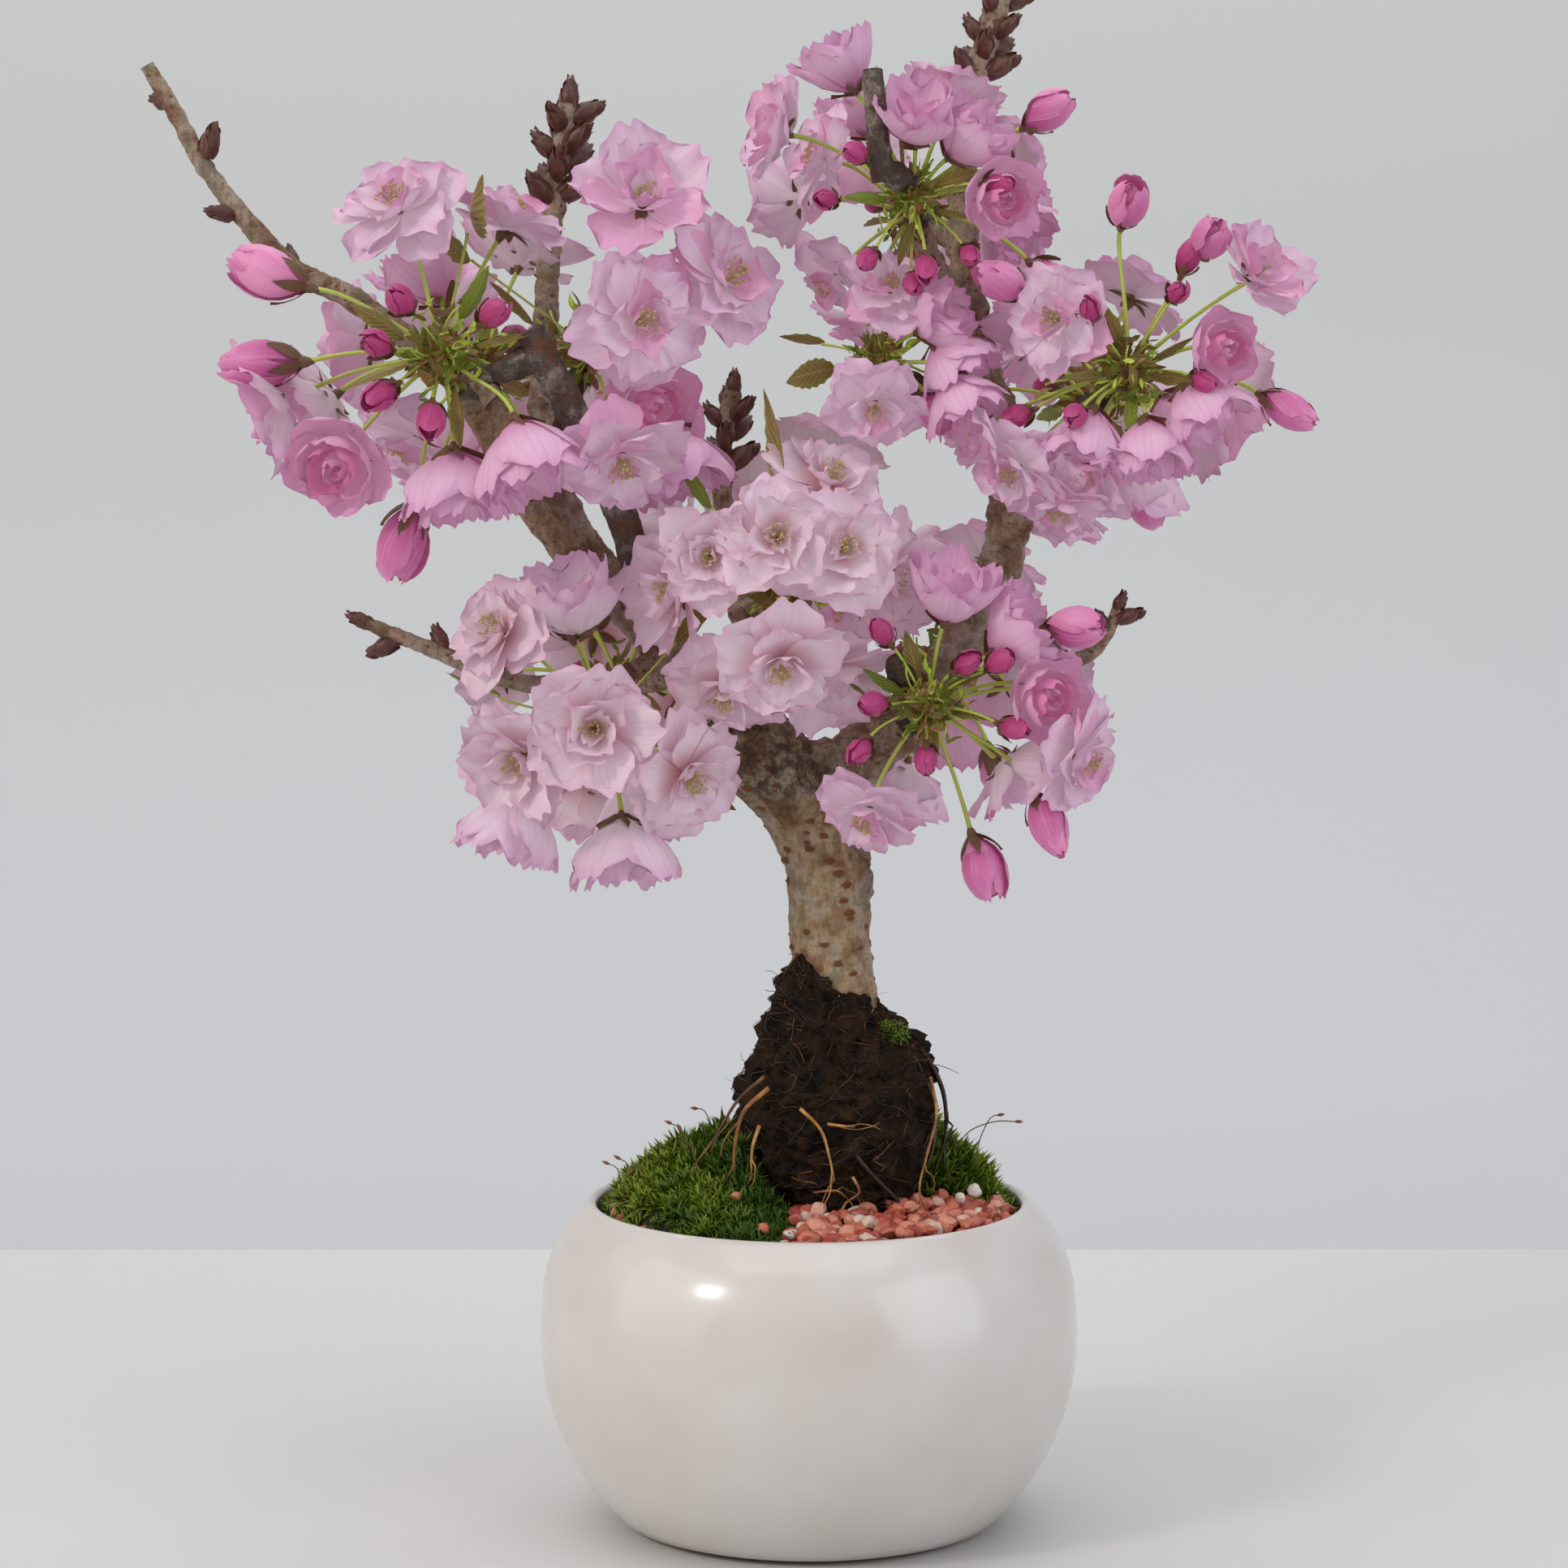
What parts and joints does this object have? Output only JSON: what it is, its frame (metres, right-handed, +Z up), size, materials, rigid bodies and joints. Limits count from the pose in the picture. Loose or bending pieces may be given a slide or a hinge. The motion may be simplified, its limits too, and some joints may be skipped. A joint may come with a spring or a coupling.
{
  "type": "flowering bonsai tree",
  "caption": "Double-flowered pink cherry bonsai in full blossom: a forked, leaning trunk on an exposed root ball, in a round off-white glazed pot with moss and gravel.",
  "frame": {"origin": "centre of the pot's flat underside", "axes": "+Z up, +X to the right of the tree, -Y its front"},
  "size_m": [0.2577, 0.1317, 0.351],
  "materials": {
    "glaze": "off-white gloss glaze",
    "soil": "dark damp potting soil",
    "root_ball": "dark earth matted with fine roots",
    "moss": "green star moss",
    "gravel": "pink and white gravel",
    "bark": "beige-brown bark with raised pores",
    "blossom": "pale pink petals"
  },
  "bodies": {
    "root": {"pot": "glaze", "soil": "soil", "root_ball": "root_ball", "moss_left": "moss", "moss_right": "moss", "gravel": "gravel", "trunk": "bark", "left_bough": "bark", "left_tip": "bark", "pale_bough": "bark", "cut_branch": "bark", "left_rear_twig": "bark", "middle_rear_twig": "bark", "left_bare_twig": "bark", "lower_left_bough": "bark", "snag": "bark", "centre_bough": "bark", "right_bough": "bark", "right_tip": "bark", "right_side_bough": "bark", "top_bough": "bark", "inner_bough": "bark", "right_bare_twig": "bark", "lower_right_bough": "bark", "rear_upper_left_bough": "bark", "rear_centre_bough": "bark", "rear_lower_left_bough": "bark", "rear_lower_right_bough": "bark", "rear_top_bough": "bark", "rear_right_bough": "bark", "blossom_upper_left": "blossom", "blossom_upper_middle": "blossom", "blossom_centre": "blossom", "blossom_lower_left": "blossom", "blossom_inner_right": "blossom", "blossom_top": "blossom", "blossom_right": "blossom", "blossom_lower_right": "blossom", "blossom_rear_upper_left": "blossom", "blossom_rear_centre": "blossom", "blossom_rear_lower_left": "blossom", "blossom_rear_lower_right": "blossom", "blossom_rear_top": "blossom", "blossom_rear_right": "blossom"}
  },
  "joints": []
}
